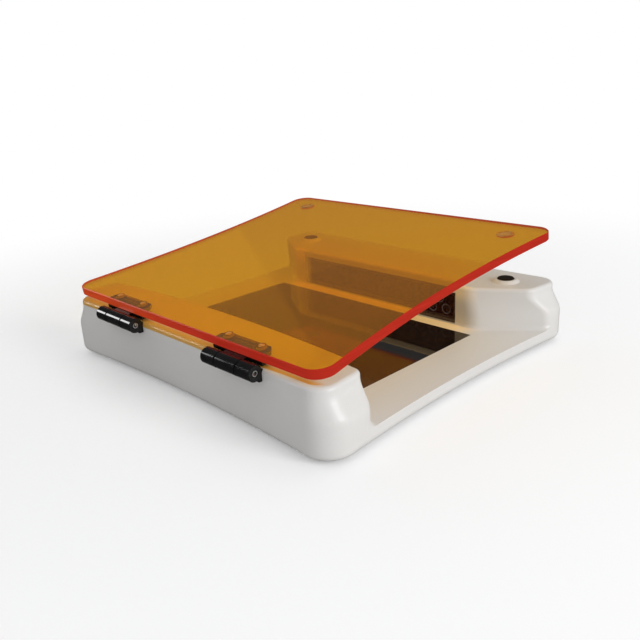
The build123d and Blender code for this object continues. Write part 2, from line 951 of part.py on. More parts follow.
def wall_leaf(side):
    """The hinge leaf on the front wall, with the two outer knuckles."""
    x = side * hinge_x
    half = hinge_length / 2
    inner = knuckle_length / 2 + knuckle_gap
    leaf = box(
        x - half, x + half, seat_y - wall_leaf_thickness, seat_y, top_z - wall_leaf_height, top_z
    )
    relief = rod(
        barrel_radius + knuckle_gap, (x - inner, axis_y, axis_z), (x + inner, axis_y, axis_z)
    )
    bore = rod(pin_radius + running_gap, (x - half, axis_y, axis_z), (x + half, axis_y, axis_z))
    leaf = leaf + knuckle(x - half, x - inner) + knuckle(x + inner, x + half) - relief - bore
    for step in leaf_screw_steps:
        hole_end = seat_y - leaf_screw_bite
        leaf -= rod(
            small_screw_radius + running_gap, (x + step, seat_y + 1, leaf_screw_z),
            (x + step, hole_end, leaf_screw_z),
        )
    return leaf


def hinge_pin(side):
    """The steel pin through a hinge's three knuckles."""
    x = side * hinge_x
    half = hinge_length / 2 - pin_recess
    return rod(pin_radius, (x - half, axis_y, axis_z), (x + half, axis_y, axis_z))


def wall_leaf_screws():
    """The screws that hold both wall leaves from inside the front wall."""
    head_y = front_inner_y - small_head_height
    length = head_y - seat_y + leaf_screw_bite - screw_tip_gap
    return group(
        pan_screw(
            small_screw_radius, small_head_radius, small_head_height - head_recess, length,
            (x, head_y, leaf_screw_z), (0, -1, 0),
        )
        for x in leaf_screw_x
    )


def turned_up(piece):
    """A lid piece, drawn shut, turned up to its rest place."""
    axis = Axis((0, axis_y, axis_z), (1, 0, 0))
    return piece.rotate(axis, rest_angle)


def lid_plan():
    """The lid's outline from above: sides drawn in, ends straight, corners rounded."""
    near, far = lid_edge_y, lid_far_y
    mid = (near + far) / 2
    waist_x = lid_half_width - lid_waist
    right = ThreePointArc((lid_half_width, near), (waist_x, mid), (lid_half_width, far))
    left = ThreePointArc((-lid_half_width, far), (-waist_x, mid), (-lid_half_width, near))
    front = Line((-lid_half_width, near), (lid_half_width, near))
    back = Line((lid_half_width, far), (-lid_half_width, far))
    face = Face(Wire([front, right, back, left]))
    return face.fillet_2d(lid_corner_radius, face.vertices())


def lid():
    """The amber lid, with blind holes below for inserts and discs."""
    plate = extrude(Pos(0, 0, lid_under_z) * lid_plan(), lid_thickness)
    rims = plate.edges().group_by(Axis.Z)
    plate = chamfer(rims[0] + rims[-1], lid_edge_round)
    for x, y in lid_screw_spots:
        plate -= rod(
            insert_radius + running_gap, (x, y, lid_under_z - 1), (x, y, lid_under_z + insert_length)
        )
    for x, y in disc_spots:
        plate -= rod(
            pad_radius + running_gap, (x, y, lid_under_z - 1), (x, y, lid_under_z + disc_thickness)
        )
    return turned_up(plate)


def lid_leaf(side):
    """The hinge leaf under the lid, with the middle knuckle."""
    x = side * hinge_x
    half = lid_leaf_length / 2
    near = axis_y + barrel_radius + knuckle_relief
    far = axis_y + lid_leaf_reach
    low, high = lid_under_z - lid_leaf_thickness, lid_under_z
    flange = box(x - half, x + half, near, far, low, high)
    tips = flange.edges().filter_by(Axis.Z).group_by(Axis.Y)[-1]
    flange = chamfer(tips, lid_leaf_chamfer)
    mid = knuckle_length / 2
    tongue = box(x - mid, x + mid, axis_y, near, low, high)
    bore = rod(pin_radius + running_gap, (x - half, axis_y, axis_z), (x + half, axis_y, axis_z))
    leaf = flange + tongue + knuckle(x - mid, x + mid) - bore
    sink_depth = m3_head_radius - m3_radius
    sink = Cone(m3_head_radius + running_gap, m3_radius + running_gap, sink_depth)
    for spot_x, spot_y in lid_screw_spots:
        if spot_x * side > 0:
            leaf -= rod(m3_radius + running_gap, (spot_x, spot_y, low - 1), (spot_x, spot_y, high + 1))
            leaf -= Pos(spot_x, spot_y, low + sink_depth / 2) * sink
    return turned_up(leaf)


def lid_inserts():
    """Four threaded brass inserts set into the lid from below."""
    rings = []
    top = lid_under_z + insert_length
    for x, y in lid_screw_spots:
        body = rod(insert_radius, (x, y, lid_under_z), (x, y, top))
        hole = rod(m3_radius + running_gap, (x, y, lid_under_z - 1), (x, y, top - insert_floor))
        rings.append(turned_up(body - hole))
    return group(rings)


def lid_screws():
    """The four flat-headed screws that hold the lid leaves to the lid."""
    length = lid_leaf_thickness + insert_length - insert_floor - screw_tip_gap
    low = lid_under_z - lid_leaf_thickness
    return group(
        turned_up(countersunk_screw(m3_radius, m3_head_radius, length, (x, y, low), (0, 0, 1)))
        for x, y in lid_screw_spots
    )


def lid_discs():
    """Two steel discs let into the lid, which meet the rest pads."""
    return group(
        turned_up(rod(pad_radius, (x, y, lid_under_z), (x, y, lid_under_z + disc_thickness)))
        for x, y in disc_spots
    )


def lead(points):
    """One insulated lead swept along straight runs and tangent arcs."""
    path = FilletPolyline(*points, radius=lead_bend)
    profile = Plane(origin=path @ 0, z_dir=path % 0) * Circle(lead_radius)
    return sweep(profile, path)


def lamp_leads():
    """Leads from the driver board to both lamp boards: one under the tray, one beside the window."""
    lead_x = plate_width / 2 + panel_gap + tray_wall + lead_plate_gap
    low_z = base_top_z + lead_floor_gap + lead_radius
    terminal_y = driver_mid_y - terminal_depth / 2
    exit_y = terminal_y - lead_exit
    climb_y = front_station.hollow_y - lead_foot
    front_x, rear_x = [driver_x + step for step in output_terminal_steps]
    end_x = board_width / 2
    front_y = (front_station.board_front + front_station.board_back) / 2
    rear_y = (rear_station.board_front + rear_station.board_back) / 2
    to_front = [
        (front_x, terminal_y, terminal_mid_z),
        (front_x, exit_y, terminal_mid_z),
        (lead_x, exit_y - lead_drop, low_z),
        (lead_x, climb_y, low_z),
        (lead_x, climb_y - lead_climb, low_z + lead_climb),
        (end_x + lead_run_in, front_y, window_mid),
        (end_x, front_y, window_mid),
    ]
    to_rear = [
        (rear_x, terminal_y, terminal_mid_z),
        (rear_x, exit_y, terminal_mid_z),
        (end_x + lead_run_in, rear_y, window_mid),
        (end_x, rear_y, window_mid),
    ]
    return group([lead(to_front), lead(to_rear)])


def supply_leads():
    """Leads from the inlet through the switch to the driver board."""
    switch_y = port_y - switch_depth
    jack_y = port_y - jack_length
    terminal_x = driver_x + input_terminal_step - terminal_width / 2
    high_y = driver_mid_y + supply_spacing / 3
    low_y = high_y - supply_spacing
    tab_z = port_mid_z + tab_step
    jack_to_driver = [
        (jack_x + tab_step, jack_y, tab_z),
        (jack_x + tab_step, high_y, tab_z),
        (jack_x + tab_step + supply_slant, high_y, terminal_mid_z),
        (terminal_x, high_y, terminal_mid_z),
    ]
    tab_z = port_mid_z + switch_tab_rise
    switch_to_driver = [
        (switch_x, switch_y, tab_z),
        (switch_x, low_y, tab_z),
        (jack_x + supply_slant / 2, low_y, terminal_mid_z),
        (terminal_x, low_y, terminal_mid_z),
    ]
    tab_z = port_mid_z - switch_tab_drop
    jack_to_switch = [
        (jack_x - tab_step, jack_y, port_mid_z - tab_step),
        (jack_x - tab_step, driver_mid_y, port_mid_z - tab_step),
        (switch_x + switch_tab_step, driver_mid_y, tab_z),
        (switch_x + switch_tab_step, switch_y, tab_z),
    ]
    return group([lead(jack_to_driver), lead(switch_to_driver), lead(jack_to_switch)])


def all_pieces():
    """Every piece under its node name."""
    pieces = {
        "upper_housing": upper_housing(),
        "base_plate": base_plate(),
        "base_screws": base_screws(),
        "rubber_feet": rubber_feet(),
        "viewing_plate": viewing_plate(),
        "bracket_screws": bracket_screws(),
        "board_screws": board_screws(),
        "driver_board": driver_board(),
        "driver_screws": driver_screws(),
        "driver_components": driver_components(),
        "lamp_leads": lamp_leads(),
        "supply_leads": supply_leads(),
        "power_switch_body": power_switch_body(),
        "power_rocker": power_rocker(),
        "dc_jack": dc_jack(),
        "jack_contact_pin": jack_contact_pin(),
        "jack_nut": jack_nut(),
        "wall_leaf_screws": wall_leaf_screws(),
        "lid": lid(),
        "lid_inserts": lid_inserts(),
        "lid_screws": lid_screws(),
        "lid_discs": lid_discs(),
    }
    for station in stations:
        pieces[station.name + "_led_window"] = led_window(station)
        pieces[station.name + "_leds"] = leds(station)
        pieces[station.name + "_led_board"] = led_board(station)
        pieces[station.name + "_led_bracket"] = led_bracket(station)
    for name, side in (("left", -1), ("right", 1)):
        pieces[name + "_rest_pad"] = rest_pad(side)
        pieces[name + "_wall_leaf"] = wall_leaf(side)
        pieces[name + "_lid_leaf"] = lid_leaf(side)
        pieces[name + "_hinge_pin"] = hinge_pin(side)
    return pieces


# The footprint runs from the hinge barrels to the far corners; the origin is below its middle
footprint_front = axis_y - barrel_radius
footprint_back = outline().bounding_box().max.Y
origin_y = (footprint_front + footprint_back) / 2


def main():
    """Write one STEP file for each piece."""
    os.makedirs("parts", exist_ok=True)
    for name, piece in all_pieces().items():
        export_step(Pos(0, -origin_y, 0) * piece, f"parts/{name}.step")
    print("origin_y", origin_y)
    print("lid hinge axis y, z", axis_y - origin_y, axis_z)
    print("rocker axis x, y, z", switch_x, port_y - origin_y, port_mid_z)


if __name__ == "__main__":
    main()
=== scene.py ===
"""Looks of the blue light gel viewer: materials, fine pieces, stage, lamps and camera."""
import math

import bmesh
import bpy
from mathutils import Euler, Matrix, Vector


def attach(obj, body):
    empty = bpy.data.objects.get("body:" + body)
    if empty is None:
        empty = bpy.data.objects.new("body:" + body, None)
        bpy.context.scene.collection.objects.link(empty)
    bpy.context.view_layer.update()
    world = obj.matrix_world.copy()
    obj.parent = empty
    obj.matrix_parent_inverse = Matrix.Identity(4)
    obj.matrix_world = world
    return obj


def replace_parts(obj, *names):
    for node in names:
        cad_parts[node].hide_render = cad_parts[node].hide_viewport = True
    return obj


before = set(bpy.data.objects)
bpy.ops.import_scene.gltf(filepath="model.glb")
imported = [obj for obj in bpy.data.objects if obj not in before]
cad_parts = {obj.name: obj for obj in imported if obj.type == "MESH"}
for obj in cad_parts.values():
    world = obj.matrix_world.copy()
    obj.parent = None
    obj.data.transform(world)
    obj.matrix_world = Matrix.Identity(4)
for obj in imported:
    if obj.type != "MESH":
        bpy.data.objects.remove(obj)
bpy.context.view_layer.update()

# Camera, solved from the photograph: place in metres, angles in degrees
CAMERA_AT = Vector((0.293257, -0.274441, 0.158928))
CAMERA_AZIMUTH = 46.268
CAMERA_ELEVATION = 19.631
CAMERA_ROLL = -3.052
FOCAL_PIXELS = 703.318
IMAGE_PIXELS = 640.0
SENSOR_MM = 36.0
CLIP_START = 0.01
CLIP_END = 50.0

# Colours of the visible pieces, as linear values
WHITE = (0.80, 0.785, 0.765)
BLACK = (0.010, 0.010, 0.010)
AMBER = (0.94, 0.475, 0.010)
CUT_EDGE = (0.20, 0.010, 0.005)
COPPER = (0.85, 0.50, 0.40)
INSERT_RIM = (0.12, 0.08, 0.05)
DISC = (0.75, 0.52, 0.50)
DISC_BELOW = (0.55, 0.55, 0.56)
DISC_GRAIN = ((0.9, 0.9, 0.9), (1.0, 1.0, 1.0))
PANE = (0.30, 0.27, 0.24)
LENS = (0.10, 0.12, 0.16)
LENS_RIM = (0.75, 0.72, 0.68)
RUBBER = (0.008, 0.007, 0.006)
RUBBER_SHADES = ((0.006, 0.005, 0.004), (0.012, 0.010, 0.009))
PLATING = (0.72, 0.71, 0.7)

# Colours of the pieces below and inside
STEEL = (0.56, 0.56, 0.57)
ALUMINIUM = (0.7, 0.7, 0.7)
COAT = (0.03, 0.03, 0.032)
COAT_SHADES = ((0.024, 0.024, 0.026), (0.038, 0.038, 0.04))
LAMP_BOARD_SHADES = ((0.006, 0.006, 0.006), (0.012, 0.012, 0.012))
DRIVER_BOARD_SHADES = ((0.015, 0.09, 0.035), (0.03, 0.16, 0.07))
LEAD = (0.35, 0.02, 0.02)
LEAD_SHADES = ((0.3, 0.015, 0.015), (0.4, 0.03, 0.03))

# Faint light of the surfaces' own, all painted glow: in the acrylic it stands for light caught or scattered
# inside it; on the plate, inserts, discs, leaves, bores and lamp rims it is painted light
NO_LIGHT = (0.0, 0.0, 0.0)
AMBER_GLOW = (0.012, 0.001, 0.001)
PLATE_GLOW = (0.0015, 0.0004, 0.0002)
COPPER_GLOW = (0.10, 0.10, 0.50)
DISC_GLOW = (0.0, 0.0, 0.20)
LEAF_GLOW = (0.07, 0.035, 0.13)
BORE_GLOW = (0.14, 0.10, 0.04)
LENS_RIM_STRENGTH = 0.38

# Red light of the lid's cut edges: its colour at both ends of a stretch of X, and the saw grain in it
EDGE_GLOW_FAR = (0.38, 0.045, 0.008)
EDGE_GLOW_NEAR = (0.29, 0.016, 0.008)
EDGE_GLOW_X = (-0.1, 0.06)
SAW_GRAIN = ((0.78, 0.78, 0.78), (1.18, 1.18, 1.18))
SAW_STRETCH = (0.12, 0.12, 3.0)

# What is left of the light that passes the lid and the panes
AMBER_SHADE = (0.985, 0.88, 0.68)
PANE_SHADE = (0.45, 0.42, 0.40)

# The lid's angle at rest, and how far faces look along its normal: cut edges less than the first value,
# the flats of the leaves and the tops of the discs more than theirs
REST_ANGLE = math.radians(7.1)
EDGE_STEEPNESS = 0.85
LEAF_FLATNESS = 0.95
DISC_FLATNESS = 0.5

# Amber light painted on the housing around the far window, as a tint and a glow; then in metres: reach in X,
# band in Y, ledge and upper wall in Z
PAINTED_WINDOW_LIGHT = (1.0, 0.91, 0.74)
WINDOW_GLOW = (0.26, 0.125, 0.0)
GLOW_START = 0.064
GLOW_END = 0.084
GLOW_Y = (0.0470, 0.0600)
GLOW_SOFT = 0.002
GLOW_LEDGE = 0.0112
GLOW_UPPER = (0.024, 0.032)
GLOW_BESIDE = 0.6

# Amber light painted under the lid's hinge edge, as a tint; then its height, rounded corner, distances from
# that, and end in Y
PAINTED_HINGE_EDGE_LIGHT = (0.96, 0.53, 0.11)
HINGE_GLOW_Z = (0.0322, 0.0328)
LID_CORNER = (0.0943, -0.0860)
HINGE_GLOW_REACH = (0.0128, 0.0121)
HINGE_GLOW_Y = (-0.088, -0.093)
NARROWING = 0.0045
NARROWING_X = (0.020, 0.085)

# The lid's inserts: middle and half pitch in X, place at the lid's underside, radii of bright face and bore
INSERT_X = (0.050, 0.012)
INSERT_YZ = (-0.0897, 0.03866)
INSERT_FACE = 0.0017
INSERT_SOFT = 0.0002
INSERT_REACH = 0.0030

# Where the lid leaves lie flat against the lid
LEAF_FLAT_Y = -0.0949

# Painted light caught at the pane's left end, and a faint painted glow on the rest of the pane
PANE_END = -0.0641
PANE_STRIP = 0.008
PANE_END_GLOW = (0.16, 0.13, 0.10)
PANE_GLOW = (0.004, 0.0006, 0.0006)

# Lamp lenses, in metres: lamps and height of each row, and each set's front with the side that it lies to
LENS_ROWS = ((12, 0.01795), (11, 0.02435))
LENS_PITCH = 0.010
LENS_FRONTS = {"rear_leds": (0.06007, 1), "front_leds": (-0.06871, -1)}
LENS_SEGMENTS = 28
# Radius, depth behind the lamp's front, and material (0 cup, 1 rim, 2 lens) of the band after it
LENS_PROFILE = [
    (0.0, 0.0036, 0), (0.0034, 0.0036, 0), (0.0034, 0.0011, 0), (0.0031, 0.0009, 1), (0.0029, 0.0009, 1),
    (0.00275, 0.0011, 0), (0.0021, 0.0024, 0), (0.0019, 0.0023, 2), (0.0019, 0.0014, 2), (0.0017, 0.0008, 2),
    (0.0013, 0.0004, 2), (0.0007, 0.0001, 2), (0.0, 0.0, 2),
]

# Hinge pins, in metres: axis in Y and Z, and each pin's ends in X
PIN_AXIS = (-0.099885, 0.0343)
PIN_ENDS = {"left_hinge_pin": (-0.0677, -0.0323), "right_hinge_pin": (0.0323, 0.0677)}
PIN_RADIUS = 0.0016
PIN_BORE = 0.0009
PIN_ROUND = 0.00015
PIN_DEPTH = 0.003
PIN_SEGMENTS = 40

# Turned pieces: points closer than this become one, and edges sharper than this stay crisp
WELD_DISTANCE = 0.000001
CRISP_ANGLE = math.radians(35)

# World brightness: in the background, for light on surfaces, and in reflections low and high
PLAIN_WHITE = 1.0
WORLD_LIGHT = 0.47
HORIZON_SHADE = 0.08
CEILING_SHADE = 0.09
HORIZON_TOP = 0.16
CEILING_START = 0.40
# The sky's colour where it is seen through the lid, also by way of the plate's reflection
SKY_THROUGH_LID = (0.70, 0.42, 0.42)
# A softbox that only mirror-like surfaces show: its direction, extent as cosines, and brightness
SOFTBOX = (-0.848, -0.430, 0.310)
SOFTBOX_EDGE = 0.988
SOFTBOX_CORE = 0.996
SOFTBOX_SHADE = 13.0

# Lamps: name, place, point aimed at, size in metres, power in watts
LAMPS = [
    ("key", (1.35, 0.12, 0.52), (0.0, 0.0, 0.02), 0.55, 9.0),
    ("top", (0.1, 0.5, 1.4), (0.0, 0.0, 0.0), 0.9, 1.3),
    ("left", (-1.10, 0.10, 0.75), (0.0, 0.0, 0.02), 1.3, 2.4),
]
# Lamps that don't show in the lid's and the plate's reflections
UNMIRRORED = ("left", "top")

# Floor: half width and fade to white in metres, then brightness: added in the camera's sight, in gloss,
# and through the lid
FLOOR = (0.88, 0.885, 0.89)
FLOOR_REACH = 6.0
FLOOR_FADE = (0.16, 0.50)
FLOOR_LIFT = 0.28
FLOOR_SEEN_IN_GLOSS = 0.05
FLOOR_THROUGH_LID = 0.52


def principled(mat):
    """The material's main shader."""
    return mat.node_tree.nodes["Principled BSDF"]


def link(owner, source, target):
    """Join an output socket to an input socket, in a material or in the world."""
    owner.node_tree.links.new(source, target)


def feed(owner, target, value):
    """Give an input socket a number, a colour, or what an output socket says."""
    if isinstance(value, tuple):
        target.default_value = (*value, 1.0)
    elif isinstance(value, (int, float)):
        target.default_value = value
    else:
        link(owner, value, target)


def add_node(owner, kind, **values):
    """A shader node with some of its inputs or settings given, with _ for spaces."""
    node = owner.node_tree.nodes.new(kind)
    for key, value in values.items():
        name = key.replace("_", " ")
        if name in node.inputs:
            node.inputs[name].default_value = value
        else:
            setattr(node, key, value)
    return node


def new_material(name, color, roughness, **values):
    """A Principled material; further values are given by socket name with _ for spaces."""
    mat = bpy.data.materials.new(name)
    mat.use_nodes = True
    inputs = principled(mat).inputs
    feed(mat, inputs["Base Color"], color)
    feed(mat, inputs["Roughness"], roughness)
    for key, value in values.items():
        feed(mat, inputs[key.replace("_", " ")], value)
    return mat


def scaled(color, factor):
    """A colour made lighter or darker."""
    return tuple(min(value * factor, 1.0) for value in color)


def coordinates(owner, kind="Object"):
    """The point's place at rest in the shared frame, in metres, or another kind of coordinates."""
    return add_node(owner, "ShaderNodeTexCoord").outputs[kind]


def position(owner, axis, kind="Object"):
    """The X, Y or Z of such coordinates."""
    split = add_node(owner, "ShaderNodeSeparateXYZ")
    link(owner, coordinates(owner, kind), split.inputs["Vector"])
    return split.outputs[axis]


def facing(owner, vector, direction):
    """How far a vector points in a direction: 1 along it, -1 against it."""
    product = add_node(owner, "ShaderNodeVectorMath", operation="DOT_PRODUCT")
    product.inputs[1].default_value = direction
    link(owner, vector, product.inputs[0])
    return product.outputs["Value"]


def combine(owner, operation, *values):
    """The result of a math operation on sockets and numbers."""
    node = add_node(owner, "ShaderNodeMath", operation=operation)
    for index, value in enumerate(values):
        feed(owner, node.inputs[index], value)
    return node.outputs["Value"]


def between(owner, value, start, end, first=0.0, second=1.0):
    """A value that goes softly from the first to the second as another goes from start to end."""
    spread = add_node(owner, "ShaderNodeMapRange", interpolation_type="SMOOTHSTEP",
                      From_Min=start, From_Max=end, To_Min=first, To_Max=second)
    link(owner, value, spread.inputs["Value"])
    return spread.outputs["Result"]


def ray_flag(owner, *names):
    """One where any of the named Light Path outputs is one."""
    path = add_node(owner, "ShaderNodeLightPath")
    value = path.outputs[names[0]]
    for name in names[1:]:
        value = combine(owner, "MAXIMUM", value, path.outputs[name])
    return value


def mix_colors(owner, fac, first, second, blend_type="MIX"):
    """The colour that runs from the first to the second; each is a value or a socket."""
    node = add_node(owner, "ShaderNodeMix", data_type="RGBA", blend_type=blend_type)
    for index, value in ((0, fac), (6, first), (7, second)):
        feed(owner, node.inputs[index], value)
    return node.outputs[2]


def multiplied(mat, color, tint, fac=1.0):
    """A colour multiplied by a tint as far as the factor says."""
    return mix_colors(mat, fac, color, tint, "MULTIPLY")


def mix_strengths(owner, fac, first, second):
    """The strength that runs from the first to the second; each is a number or a socket."""
    node = add_node(owner, "ShaderNodeMix")
    for index, value in ((0, fac), (2, first), (3, second)):
        feed(owner, node.inputs[index], value)
    return node.outputs[0]


def mix_shaders(mat, fac, first, second):
    """The shader that runs from the first to the second."""
    mix = add_node(mat, "ShaderNodeMixShader")
    for index, value in enumerate((fac, first, second)):
        link(mat, value, mix.inputs[index])
    return mix.outputs["Shader"]


def show(mat, shader):
    """Make a shader the material's surface."""
    link(mat, shader, mat.node_tree.nodes["Material Output"].inputs["Surface"])


def noise(mat, scale, detail=2.0, stretch=(1.0, 1.0, 1.0)):
    """Noise in the piece's own coordinates; the scale is in cells per metre."""
    mapping = add_node(mat, "ShaderNodeMapping", Scale=stretch)
    link(mat, coordinates(mat), mapping.inputs["Vector"])
    texture = add_node(mat, "ShaderNodeTexNoise", Scale=scale, Detail=detail)
    link(mat, mapping.outputs["Vector"], texture.inputs["Vector"])
    return texture.outputs["Fac"]


def ramp_between(mat, fac, first, second, low=0.35, high=0.65):
    """A colour that runs from one value to another, by default over the middle of a noise's range."""
    ramp = add_node(mat, "ShaderNodeValToRGB")
    for element, place, color in zip(ramp.color_ramp.elements, (low, high), (first, second)):
        element.position = place
        element.color = (*color, 1.0)
    link(mat, fac, ramp.inputs["Fac"])
    return ramp.outputs["Color"]


def by_mask(mat, mask, outside, inside):
    """One colour where the mask is zero and another where it is one."""
    return ramp_between(mat, mask, outside, inside, low=0.0, high=1.0)


def vary_color(mat, scale, first, second):
    """Let the colour wander between two values."""
    color = ramp_between(mat, noise(mat, scale), first, second)
    link(mat, color, principled(mat).inputs["Base Color"])
    return color


def vary_roughness(mat, scale, low, high, stretch=(1.0, 1.0, 1.0)):
    """Let the roughness wander between two values."""
    spread = add_node(mat, "ShaderNodeMapRange", From_Min=0.3, From_Max=0.7, To_Min=low, To_Max=high)
    link(mat, noise(mat, scale, detail=3.0, stretch=stretch), spread.inputs["Value"])
    link(mat, spread.outputs["Result"], principled(mat).inputs["Roughness"])


def add_bump(mat, scale, height):
    """A fine surface relief; the height is in metres."""
    bump = add_node(mat, "ShaderNodeBump", Strength=1.0, Distance=height)
    link(mat, noise(mat, scale), bump.inputs["Height"])
    link(mat, bump.outputs["Normal"], principled(mat).inputs["Normal"])


def glow(mat, color, strength=1.0):
    """Light of the surface's own; the colour is a value or a socket."""
    feed(mat, principled(mat).inputs["Emission Color"], color)
    feed(mat, principled(mat).inputs["Emission Strength"], strength)


def window_light(mat):
    """Masks for the amber light painted around the far window: where it falls, and where it falls brightest.
    """
    side = combine(mat, "ABSOLUTE", position(mat, "X"))
    fade = between(mat, side, GLOW_END, GLOW_START)
    behind = between(mat, position(mat, "Y"), GLOW_Y[0], GLOW_Y[0] + GLOW_SOFT)
    before = between(mat, position(mat, "Y"), GLOW_Y[1], GLOW_Y[1] - GLOW_SOFT)
    around = combine(mat, "MULTIPLY", fade, combine(mat, "MULTIPLY", behind, before))
    ledge = combine(mat, "LESS_THAN", position(mat, "Z"), GLOW_LEDGE)
    upper = between(mat, position(mat, "Z"), *GLOW_UPPER)
    beside = combine(mat, "MULTIPLY", upper, combine(mat, "GREATER_THAN", side, GLOW_START))
    strong = combine(mat, "MAXIMUM", ledge, combine(mat, "MULTIPLY", beside, GLOW_BESIDE))
    return around, combine(mat, "MULTIPLY", around, strong)


def hinge_edge_light(mat):
    """Mask for the amber light painted on the front block's top, right under the lid's hinge edge."""
    high = between(mat, position(mat, "Z"), *HINGE_GLOW_Z)
    side = combine(mat, "ABSOLUTE", position(mat, "X"))
    past_x = combine(mat, "MAXIMUM", combine(mat, "SUBTRACT", side, LID_CORNER[0]), 0.0)
    past_y = combine(mat, "MINIMUM", combine(mat, "SUBTRACT", position(mat, "Y"), LID_CORNER[1]), 0.0)
    square_x = combine(mat, "POWER", past_x, 2.0)
    square_y = combine(mat, "MULTIPLY", past_y, past_y)
    distance = combine(mat, "SQRT", combine(mat, "ADD", square_x, square_y))
    narrowing = combine(mat, "MULTIPLY", between(mat, position(mat, "X"), *NARROWING_X), NARROWING)
    reach = combine(mat, "ADD", distance, narrowing)
    inside = between(mat, reach, *HINGE_GLOW_REACH)
    front = between(mat, position(mat, "Y"), *HINGE_GLOW_Y)
    return combine(mat, "MULTIPLY", high, combine(mat, "MULTIPLY", inside, front))


def white_plastic():
    """Glossy white moulding, faintly uneven as a painted shell is, with amber light painted on it where
    light through the lid falls.
    """
    mat = new_material("white_moulding", WHITE, 0.4, Coat_Weight=0.15, Coat_Roughness=0.2)
    around, brightest = window_light(mat)
    color = ramp_between(mat, noise(mat, scale=9.0), scaled(WHITE, 0.99), scaled(WHITE, 1.01))
    # Painted light: amber tint around the far window
    color = multiplied(mat, color, PAINTED_WINDOW_LIGHT, around)
    # Painted light: amber tint on the front block's top under the lid's hinge edge
    color = multiplied(mat, color, PAINTED_HINGE_EDGE_LIGHT, hinge_edge_light(mat))
    link(mat, color, principled(mat).inputs["Base Color"])
    # Painted glow where that amber light falls brightest
    glow(mat, by_mask(mat, brightest, NO_LIGHT, WINDOW_GLOW))
    vary_roughness(mat, scale=30.0, low=0.38, high=0.44)
    add_bump(mat, scale=900.0, height=0.000002)
    return mat


def black_plastic(name, rough_low=0.08, rough_high=0.16, peel=0.000002):
    """Black plastic with a slightly uneven polish, glossy if nothing else is asked for."""
    mat = new_material(name, BLACK, rough_low, Specular_IOR_Level=0.3)
    vary_color(mat, scale=40.0, first=scaled(BLACK, 0.8), second=scaled(BLACK, 1.3))
    vary_roughness(mat, scale=120.0, low=rough_low, high=rough_high)
    add_bump(mat, scale=300.0, height=peel)
    return mat


def plate_black():
    """The viewing plate's polished face, with faint wiping marks and a faint painted glow."""
    mat = new_material("viewing_plate_black", BLACK, 0.04, IOR=1.72)
    glow(mat, PLATE_GLOW)
    vary_color(mat, scale=9.0, first=scaled(BLACK, 0.6), second=scaled(BLACK, 1.2))
    vary_roughness(mat, scale=25.0, low=0.02, high=0.06, stretch=(1.0, 5.0, 1.0))
    return mat


def along_lid_normal(mat):
    """How far a face looks the way the lid's upper face does: 1 along it, -1 against it."""
    return facing(mat, coordinates(mat, "Normal"), (0.0, -math.sin(REST_ANGLE), math.cos(REST_ANGLE)))


def near_inserts(mat):
    """Distance from the nearest insert's axis, in metres, measured across the lid."""
    side = combine(mat, "ABSOLUTE", position(mat, "X"))
    step = combine(mat, "ABSOLUTE", combine(mat, "SUBTRACT", side, INSERT_X[0]))
    across = combine(mat, "SUBTRACT", step, INSERT_X[1])
    height = combine(mat, "SUBTRACT", position(mat, "Z"), INSERT_YZ[1])
    lean = combine(mat, "MULTIPLY", height, math.tan(REST_ANGLE))
    along = combine(mat, "ADD", combine(mat, "SUBTRACT", position(mat, "Y"), INSERT_YZ[0]), lean)
    square = combine(mat, "ADD", combine(mat, "POWER", across, 2.0), combine(mat, "POWER", along, 2.0))
    return combine(mat, "SQRT", square)


def light_through(mat, tint):
    """The main shader, which lets light pass with a tint, so that what lies beneath is lit."""
    passing = ray_flag(mat, "Is Shadow Ray", "Is Diffuse Ray")
    clear = add_node(mat, "ShaderNodeBsdfTransparent", Color=(*tint, 1.0))
    return mix_shaders(mat, passing, principled(mat).outputs["BSDF"], clear.outputs["BSDF"])


def cut_edge(mat):
    """The lid's cut edges, which glow red and carry a fine saw grain, and its insert bores, which are given
    a dull brown painted glow instead.
    """
    red = by_mask(mat, between(mat, position(mat, "X"), *EDGE_GLOW_X), EDGE_GLOW_FAR, EDGE_GLOW_NEAR)
    cells = noise(mat, scale=260.0, detail=4.0, stretch=SAW_STRETCH)
    sawn = multiplied(mat, red, ramp_between(mat, cells, *SAW_GRAIN, low=0.3, high=0.75))
    bore = combine(mat, "LESS_THAN", near_inserts(mat), INSERT_REACH)
    edge = add_node(mat, "ShaderNodeBsdfPrincipled", Roughness=0.3, Specular_IOR_Level=0.06,
                    Base_Color=(*CUT_EDGE, 1.0), Emission_Strength=1.0)
    link(mat, mix_colors(mat, bore, sawn, BORE_GLOW), edge.inputs["Emission Color"])
    return edge.outputs["BSDF"]


def amber_acrylic():
    """Clear amber sheet with polished faces and red cut edges."""
    mat = new_material("amber_acrylic", AMBER, 0.02, IOR=1.49, Transmission_Weight=0.91)
    glow(mat, AMBER_GLOW)
    vary_roughness(mat, scale=20.0, low=0.015, high=0.03)
    steepness = combine(mat, "ABSOLUTE", along_lid_normal(mat))
    edges = combine(mat, "LESS_THAN", steepness, EDGE_STEEPNESS)
    show(mat, mix_shaders(mat, edges, light_through(mat, AMBER_SHADE), cut_edge(mat)))
    return mat


def leaf_under_lid():
    """The hinges' glossy black, with a pale painted sheen, given as a glow, on the flat face against the
    acrylic.
    """
    mat = black_plastic("black_gloss_lid_leaf")
    flat = combine(mat, "GREATER_THAN", along_lid_normal(mat), LEAF_FLATNESS)
    inward = combine(mat, "GREATER_THAN", position(mat, "Y"), LEAF_FLAT_Y)
    glow(mat, by_mask(mat, combine(mat, "MULTIPLY", flat, inward), NO_LIGHT, LEAF_GLOW))
    return mat


